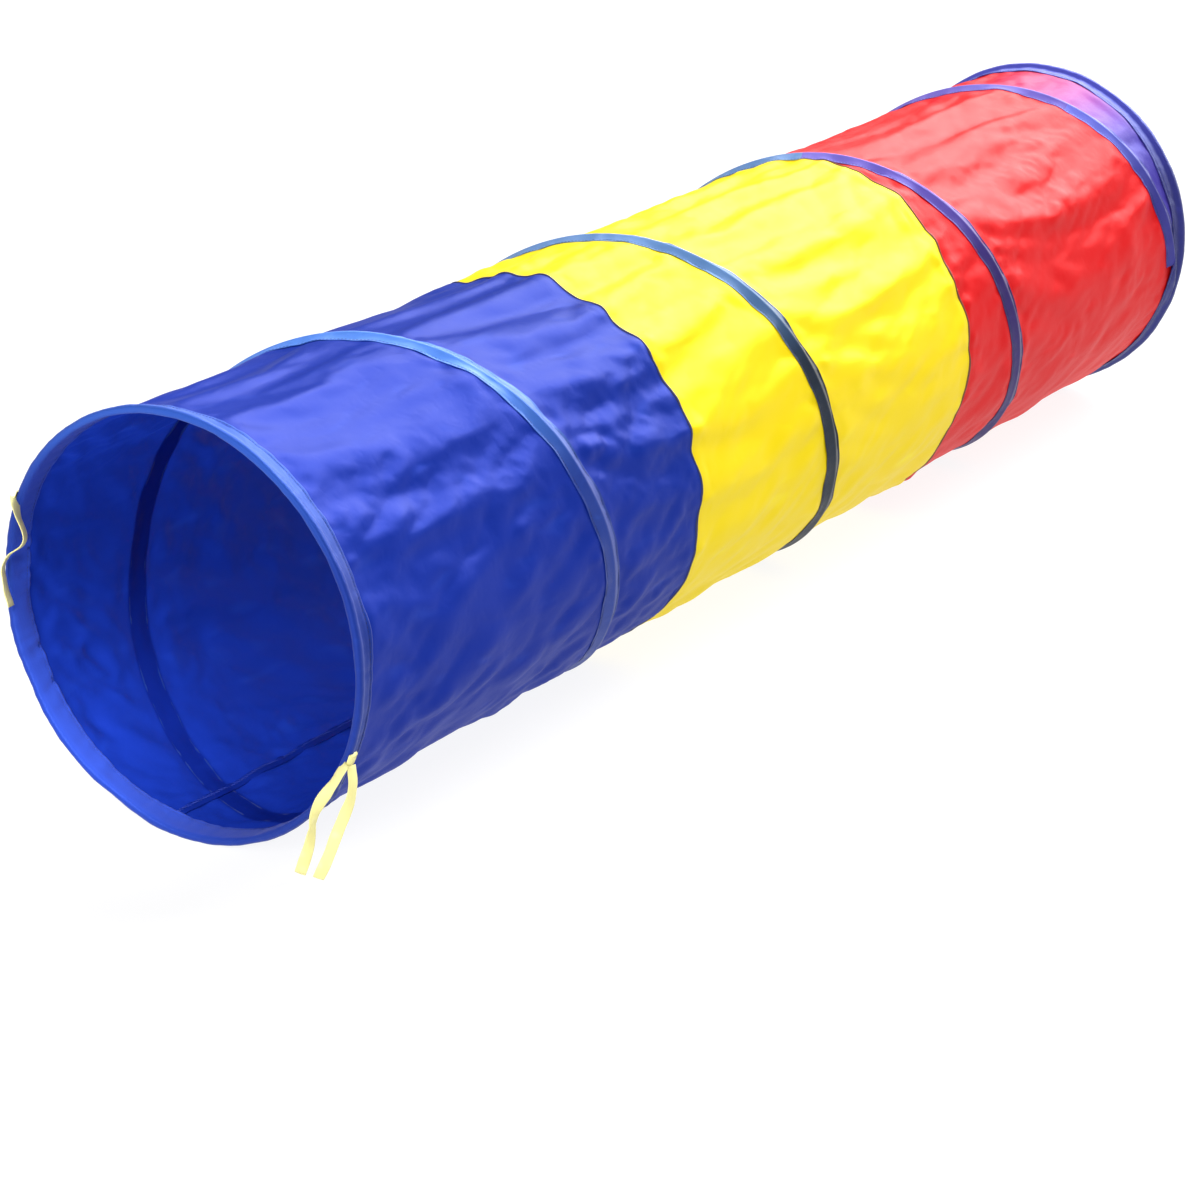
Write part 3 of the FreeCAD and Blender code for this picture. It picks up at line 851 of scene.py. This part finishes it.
def stitches(name, angles, along, lift, length, material):
    """Short threads along a line on the cloth: one starts at each given point."""
    places = over_cloth(angles, along, lift)
    runs = np.roll(places, -1, 0) - places
    runs[-1] = runs[-2]
    runs /= np.linalg.norm(runs, axis=1)[:, None]
    out = radial(np.asarray(angles, float))
    side = np.cross(runs, out)
    points, faces = [], []
    for share, width, rise in STITCH_RINGS:
        centre = places + runs * (share * length) + out * (rise * STITCH_THICKNESS)
        half = width * STITCH_THICKNESS / 2
        points += [centre - side * half, centre + out * half, centre + side * half, centre - out * half]
    block = np.stack(points, 1)
    size = block.shape[1]
    pattern = section_faces(len(STITCH_RINGS), 4, capped=False)
    pattern += [(3, 2, 1, 0), tuple(range(size - 4, size))]
    for k in range(len(block)):
        faces += [tuple(k * size + j for j in quad) for quad in pattern]
    return mesh_object(name, block, faces, cloths=[material])


STITCH_SPACING = 0.0042
STITCHES_START_ALONG = 0.0295


def tape_stitches(turn):
    """The two rows of stitches along one turn of the tape."""
    first, *_, last = turn_angles(turn, STITCHES_START_ALONG, 1)
    total = np.radians(last - first) * WIRE_CIRCLE_RADIUS / math.cos(LEAD)
    progress = np.linspace(first, last, int(total / STITCH_SPACING))
    offset = np.repeat([-STITCH_ROW, STITCH_ROW], len(progress))
    angles, along = across_coil(np.concatenate([progress, progress]), offset)
    piece = stitches(f"coil_tape_stitches_{turn}", angles, along, 0.0009, 0.0032, navy_thread)
    return on_turn(piece, turn)


WIRE_START_ALONG = 0.0088
WIRE_SIDES = 10


def wire_turn(turn):
    """The coil's spring wire inside its tape."""
    progress = turn_angles(turn, WIRE_START_ALONG, 2.0)
    around = np.arange(WIRE_SIDES) * TAU / WIRE_SIDES
    angles = COIL_START_ANGLE + progress
    along = progress / 360 * PITCH
    out = radial(angles)
    turned = np.radians(angles)
    run = np.stack([np.cos(turned) * math.cos(LEAD), np.full(len(turned), math.sin(LEAD)),
                    -np.sin(turned) * math.cos(LEAD)], -1)
    side = np.cross(run, out)
    centre = on_tube(angles, along, WIRE_CIRCLE_RADIUS)
    points = (centre[:, None] + WIRE_RADIUS * (np.cos(around)[None, :, None] * out[:, None]
                                               + np.sin(around)[None, :, None] * side[:, None]))
    piece = mesh_object(f"coil_spring_turn_{turn}", points, section_faces(len(progress), WIRE_SIDES),
                        cloths=[spring_steel])
    return on_turn(piece, turn, f"coil_wire_turn_{turn}")


for number in range(1, COIL_TURNS + 1):
    tape_turn(number)
for number in range(1, COIL_TURNS + 1):
    tape_stitches(number)
wires = [wire_turn(number) for number in range(1, COIL_TURNS + 1)]


# Seams between the panels, and along them inside

ALLOWANCE_THICKNESS = 0.0006


def allowance_section(across, ruffle):
    """The order of a sewn strip's points, and how far they lie from the cloth: its free edge is ruffled."""
    free = np.clip(across / across[-1], 0, 1)
    lift = -0.0007 - 0.0004 * free - np.abs(ruffle)[:, None] * free ** 1.5
    order = there_and_back(len(across))
    return order, lift[:, order] - np.repeat([ALLOWANCE_THICKNESS, 0.0], len(across))


def seam_ring(name, number):
    """The allowance inside, pressed to the far side of the seam."""
    steps = 540
    angles = SIDE_SEAM_ANGLE + np.linspace(0, 360, steps)
    across = np.linspace(-0.001, 0.010, 9)
    order, lift = allowance_section(across, 0.00154 * line_noise(steps, 5, 70 + number))
    along = number * LENGTH / 3 + across + 0.0005 * line_noise(steps, 8, 80 + number)[:, None]
    along = along[:, order]
    points = over_cloth(angles[:, None], along, lift)
    uvs = np.stack([np.radians(angles)[:, None] * CLOTH_RADIUS + 0 * along, along], -1)
    return mesh_object(f"{name}_allowance", points, section_faces(steps, len(order)), uvs,
                       [PANEL_CLOTH[number - 1]])


def fold_line(name, number, colour):
    """The dark edge where two panels meet, seen from outside."""
    seam = number * LENGTH / 3
    row = number * FINE_ROWS
    line = finished_cloth[:, row]
    steps = len(line)
    out = radial(column_angles)
    widths = np.array([-0.0019, -0.0011, 0.0, 0.0011, 0.0019])
    heights = np.array([-0.0004, 0.0009, 0.0013, 0.0009, -0.0004])
    unevenness = 1 + 0.14 * line_noise(steps, 3, 90 + number)
    points = (line[:, None] + out[:, None] * (heights * unevenness[:, None])[..., None]
              + np.array([0, 1, 0]) * (widths * unevenness[:, None])[..., None])
    u = np.radians(column_angles)[:, None] * CLOTH_RADIUS + 0 * widths
    uvs = np.stack([u, seam + widths + 0 * u], -1)
    return mesh_object(name, points, grid_faces(steps, len(widths)), uvs, [colour])


def seam_pieces(name, number, thread):
    """The seam after a panel: its allowance, its edge outside, and overlock stitches over the allowance."""
    allowance = seam_ring(name, number)
    line = fold_line(f"{name}_line", number, thread)
    count = 700
    angles = SIDE_SEAM_ANGLE + np.linspace(0, 360, count)
    zigzag = number * LENGTH / 3 + 0.0072 + 0.0022 * (-1) ** np.arange(count)
    overlock = stitches(f"{name}_overlock", angles, zigzag, -0.0026, 0.0046, thread)
    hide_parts(name)
    body = name.split("_")[0] + "_section"
    for piece in (allowance, line, overlock):
        closes_up(piece, body)
    return [allowance, line, overlock]


def side_seam_pieces(number):
    """The panel's own seam inside, along the tunnel near its lowest line."""
    name = PANEL_NAMES[number]
    start = max(PANEL_EDGES[number], BINDING_WIDTH * 0.9) + 0.002
    end = min(PANEL_EDGES[number + 1], LENGTH - BINDING_WIDTH * 0.9) - 0.002
    steps = 200
    across = np.linspace(-0.001, 0.009, 8)
    order, lift = allowance_section(across, 0.0009 * line_noise(steps, 3, 110 + number))
    offsets = across + 0.0004 * line_noise(steps, 6, 120 + number)[:, None]
    offsets = offsets[:, order]
    along = np.linspace(start, end, steps)[:, None] + 0 * offsets
    points = over_cloth(SIDE_SEAM_ANGLE + np.degrees(offsets / CLOTH_RADIUS), along, lift)
    strip = mesh_object(f"{name}_side_allowance", points, section_faces(steps, len(order)),
                        np.stack([offsets, along], -1), [PANEL_CLOTH[number]])
    count = int((end - start) / 0.0021)
    zigzag = SIDE_SEAM_ANGLE + np.degrees((0.0065 + 0.0021 * (-1.0) ** np.arange(count)) / CLOTH_RADIUS)
    overlock = stitches(f"{name}_side_overlock", zigzag, np.linspace(start, end, count), -0.0024, 0.0045,
                        blue_thread)
    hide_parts(f"{name}_side_seam")
    for piece in (strip, overlock):
        closes_up(piece, f"{name}_section")
    return [strip, overlock]


seams = [seam_pieces("blue_yellow_seam", 1, navy_thread), seam_pieces("yellow_red_seam", 2, brown_thread)]
side_seams = [side_seam_pieces(number) for number in range(3)]


# Mouth bindings: a tape folded round the cloth's edge, over the ring wire

# (distance from the mouth's face, radius) of the tape's outside, from its inner edge round the
# rolled rim to its outer edge, in millimetres
BINDING_SECTION = (
    (28.0, 222.8), (27.2, 222.5), (25.6, 222.6), (24.4, 222.8), (23.0, 222.6), (20.0, 222.5), (16.5, 222.5),
    (13.0, 222.5), (9.5, 222.5), (6.0, 222.6), (3.6, 222.8), (1.9, 223.4), (0.8, 224.4), (0.2, 225.8),
    (0.0, 227.3), (0.2, 228.8), (0.8, 230.0), (1.8, 230.9), (3.2, 231.5), (4.8, 231.6), (6.4, 231.4),
    (7.9, 230.8), (9.2, 229.8), (10.4, 228.6), (11.6, 227.4), (13.0, 226.4), (15.0, 225.8), (17.5, 225.6),
    (20.0, 225.5), (22.6, 225.5), (24.2, 225.2), (25.6, 225.5), (27.2, 225.5), (28.0, 225.2),
)
BINDING_THICKNESS = 0.7
INNER_STITCHES, OUTER_STITCHES = 24.4, 24.2
INNER_LEG_POINTS = 10           # of the section's points, those on the inner leg
GATHERED_AT = 245               # degrees round, where the binding is gathered most
OVER_TAPE = 0.0009              # how far the coil's tape lifts the binding


def inset(section, distance):
    """The same open line, moved to its left by a distance."""
    line = np.array(section)
    runs = np.gradient(line, axis=0)
    runs /= np.linalg.norm(runs, axis=1)[:, None]
    return line + distance * np.stack([runs[:, 1], -runs[:, 0]], -1)


def binding_pieces(name, body, at_far_end, cloth, seed):
    """The binding of one mouth, and its two rows of stitches."""
    steps = 481
    outside = np.array(BINDING_SECTION)
    inside = inset(outside, BINDING_THICKNESS)
    count = len(outside)
    angles = COIL_START_ANGLE + np.linspace(0, 360, steps)
    lengths = np.concatenate([[0], np.cumsum(np.linalg.norm(np.diff(outside, axis=0), axis=1))])
    pucker = streaks((steps, count), 12, 1.9, 12, seed)
    lumps = streaks((steps, count), 60, 7, 0, seed + 1)
    sway = streaks((steps, count), 200, 16, 0, seed + 2)[:, 0]
    gathered = 1 + np.exp(-(((angles - GATHERED_AT + 180) % 360 - 180) / 48) ** 2)
    legs = ramp(outside[:, 0], 9, 16)
    on_inner_leg = np.arange(count) < INNER_LEG_POINTS
    raised = 0.28 * pucker * (0.35 + 0.65 * legs) * gathered[:, None] + 0.22 * lumps
    raised -= 0.35 * np.exp(-((outside[:, 0] - OUTER_STITCHES) / 0.9) ** 2) * ~on_inner_leg
    fold_out = np.array(outside - inset(outside, 1.0))
    shifted = outside[None] + fold_out[None] * raised[..., None]
    shifted_in = inside[None] + fold_out[None] * raised[..., None]
    depth = np.concatenate([shifted[..., 0], shifted_in[:, ::-1, 0]], 1) / 1000
    radius = np.concatenate([shifted[..., 1], shifted_in[:, ::-1, 1]], 1) / 1000
    depth += 0.0006 * sway[:, None] * gathered[:, None] * ramp(0.012 - depth, 0.0, 0.012)
    along = LENGTH - depth if at_far_end else depth
    beside_coil = coil_distance(angles[:, None] + 0 * along, along) * math.cos(LEAD)
    outer_leg = np.concatenate([~on_inner_leg, ~on_inner_leg[::-1]])[None, :] * ramp(depth, 0.010, 0.0135)
    tape_under = OVER_TAPE * on_tape(beside_coil) * ramp(depth, 0.014, 0.018)
    radius += outer_leg * (channel_height(beside_coil) + tape_under)
    onto = np.clip(along, CLOTH_EDGE, LENGTH - CLOTH_EDGE)
    points = over_cloth(angles[:, None] + 0 * along, onto, radius - CLOTH_RADIUS)
    points[..., 1] = along - MIDDLE
    points[..., 2] = np.maximum(points[..., 2], TAPE_LOWEST)
    across = lengths[there_and_back(count)] / 1000
    v = np.radians(angles - COIL_START_ANGLE)[:, None] * WIRE_CIRCLE_RADIUS + 0 * radius
    uvs = np.stack([across[None, :] + 0 * v, v], -1)
    faces = section_faces(steps, 2 * count, capped=False)
    if at_far_end:
        faces = [tuple(reversed(quad)) for quad in faces]
    piece = mesh_object(f"{name}_tape", points, faces, uvs, [cloth])
    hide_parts(name)
    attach(piece, body)
    for side, depth_of_row, lift in (("outer", OUTER_STITCHES, 0.0013), ("inner", INNER_STITCHES, -0.0017)):
        number = int(TAU * CLOTH_RADIUS / STITCH_SPACING)
        round_it = COIL_START_ANGLE + np.arange(number) * 360 / number
        row = np.full(number, depth_of_row / 1000)
        row = LENGTH - row if at_far_end else row
        over = coil_distance(round_it, row) * math.cos(LEAD)
        cover = channel_height(over) + OVER_TAPE * on_tape(over)
        lifts = lift + (cover if side == "outer" else 0 * cover)
        threads = stitches(f"{name}_{side}_stitches", round_it, row, lifts, 0.0031, navy_thread)
        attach(threads, body)


binding_pieces("near_mouth_binding", "near_end", False, near_binding_cloth, 200)
binding_pieces("far_mouth_binding", "far_end", True, far_binding_cloth, 300)
for end in ("near", "far"):
    for part, steel in (("ring_wire", spring_steel), ("ring_ferrule", crimped_steel)):
        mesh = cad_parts[f"{end}_{part}"].data
        mesh.materials.clear()
        mesh.materials.append(steel)


# Tacks: the folded middles of the ties, sewn to the outside of the rim

TACKS = {
    "right_tie_tack": {"angles": (111.6, 115.4), "depths": (0.0003, 0.0125), "layers": 2},
    "left_tie_tack": {"angles": (-66.4, -62.4), "depths": (-0.0006, 0.0250), "layers": 1},
}


TACK_RADIUS = 0.232


def tack_pieces(name, angles, depths, layers):
    """A small pad of ribbon that follows the rim, with a box of stitches through it."""
    rows, columns = 26, 34
    round_it = np.linspace(*angles, rows)
    along = np.linspace(*depths, columns)
    rim = np.array(BINDING_SECTION)[14:]
    radius = np.interp(along * 1000, rim[:, 0], rim[:, 1]) / 1000
    radius = np.maximum(radius, 0.2306 - 0.05 * np.maximum(along - 0.006, 0))
    edge = np.minimum(np.minimum(np.arange(rows), np.arange(rows)[::-1])[:, None] / 2.0,
                      np.minimum(np.arange(columns), np.arange(columns)[::-1])[None, :] / 2.0)
    edge = np.clip(edge, 0, 1)
    rise = (0.0005 + 0.0011 * layers) * np.sqrt(1 - (1 - edge) ** 2)
    rise -= 0.0004 * (np.abs(edge - 1) < 1e-6) * (np.abs(smooth_noise((rows, columns), 5, 7)) < 0.25)
    lifted = radius[None, :] + rise
    turned = np.radians(round_it)[:, None]
    points = np.stack([lifted * np.sin(turned), along - MIDDLE + 0 * lifted,
                       AXIS_HEIGHT + lifted * np.cos(turned)], -1)
    uvs = np.stack([along + 0 * lifted, turned * TACK_RADIUS + 0 * lifted], -1)
    pad = mesh_object(f"{name}_pad", points, grid_faces(rows, columns), uvs, [tie_cloth])
    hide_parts(name)
    low, high = angles[0] + 0.45, angles[1] - 0.45
    near, far = depths[0] + 0.0016, depths[1] - 0.0016
    corners = [(low, near), (low, far), (high, far), (high, near),
               (low, near), (high, far), (high, near), (low, far)]
    places = []
    for (start_angle, start_depth), (end_angle, end_depth) in zip(corners, corners[1:]):
        count = max(2, int(math.hypot((end_angle - start_angle) * 0.004, end_depth - start_depth) / 0.0022))
        for k in range(count):
            share = k / count
            places.append((start_angle + share * (end_angle - start_angle),
                           start_depth + share * (end_depth - start_depth)))
    stitch_angles = np.array([p[0] for p in places])
    stitch_depths = np.array([p[1] for p in places])
    top = np.interp(stitch_depths, along, radius) + 0.0005 + 0.0011 * layers
    threads = stitches(f"{name}_stitches", stitch_angles, np.maximum(stitch_depths, CLOTH_EDGE),
                       top - CLOTH_RADIUS + 0.0001, 0.0017, cream_thread)
    for piece in (pad, threads):
        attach(piece, "near_end")


for name, facts in TACKS.items():
    tack_pieces(name, **facts)


# Light and floor

def add_floor(glow):
    """A light table: a white floor that glows a little, so that its shadows stay faint."""
    reach = 30
    corners = [(-reach, -reach, 0), (reach, -reach, 0), (reach, reach, 0), (-reach, reach, 0)]
    floor = mesh_object("floor", corners, [(0, 1, 2, 3)])
    material, _, surface = new_material("light_table")
    surface.inputs["Base Color"].default_value = (0.14, 0.14, 0.14, 1)
    surface.inputs["Roughness"].default_value = 0.9
    surface.inputs["Specular IOR Level"].default_value = 0.1
    surface.inputs["Emission Color"].default_value = (1, 1, 1, 1)
    surface.inputs["Emission Strength"].default_value = glow
    floor.data.materials.append(material)


def add_far_light(name, towards, width, strength):
    """A wide light at infinity: the same everywhere, and soft."""
    data = bpy.data.lights.new(name, "SUN")
    data.angle = math.radians(width)
    data.energy = strength
    light = bpy.data.objects.new(name, data)
    light.rotation_euler = Vector(towards).to_track_quat("Z", "Y").to_euler()
    bpy.context.scene.collection.objects.link(light)


def add_mouth_light(place, target, cone, strength):
    """Light that falls into the near mouth only, on the cloth low on its -X side."""
    data = bpy.data.lights.new("mouth", "SPOT")
    data.spot_size = math.radians(cone)
    data.spot_blend = 1.0
    data.shadow_soft_size = 0.12
    data.energy = strength
    light = bpy.data.objects.new("mouth", data)
    light.location = place
    light.rotation_euler = (Vector(place) - Vector(target)).to_track_quat("Z", "Y").to_euler()
    light.visible_camera = False
    bpy.context.scene.collection.objects.link(light)


def add_world(strength):
    world = bpy.data.worlds.new("white_room")
    world.use_nodes = True
    world.node_tree.nodes["Background"].inputs["Color"].default_value = (1, 1, 1, 1)
    world.node_tree.nodes["Background"].inputs["Strength"].default_value = strength
    bpy.context.scene.world = world


add_floor(0.90)
add_world(0.28)
add_far_light("sky", (0.04, 0.74, 0.67), 58, 6.8)
add_far_light("front", (0.10, -0.90, 0.42), 34, 2.5)
add_mouth_light((0.12, -1.42, 0.52), (-0.14, -0.93, 0.06), 30, 46.0)
bpy.context.scene.view_settings.view_transform = "Standard"
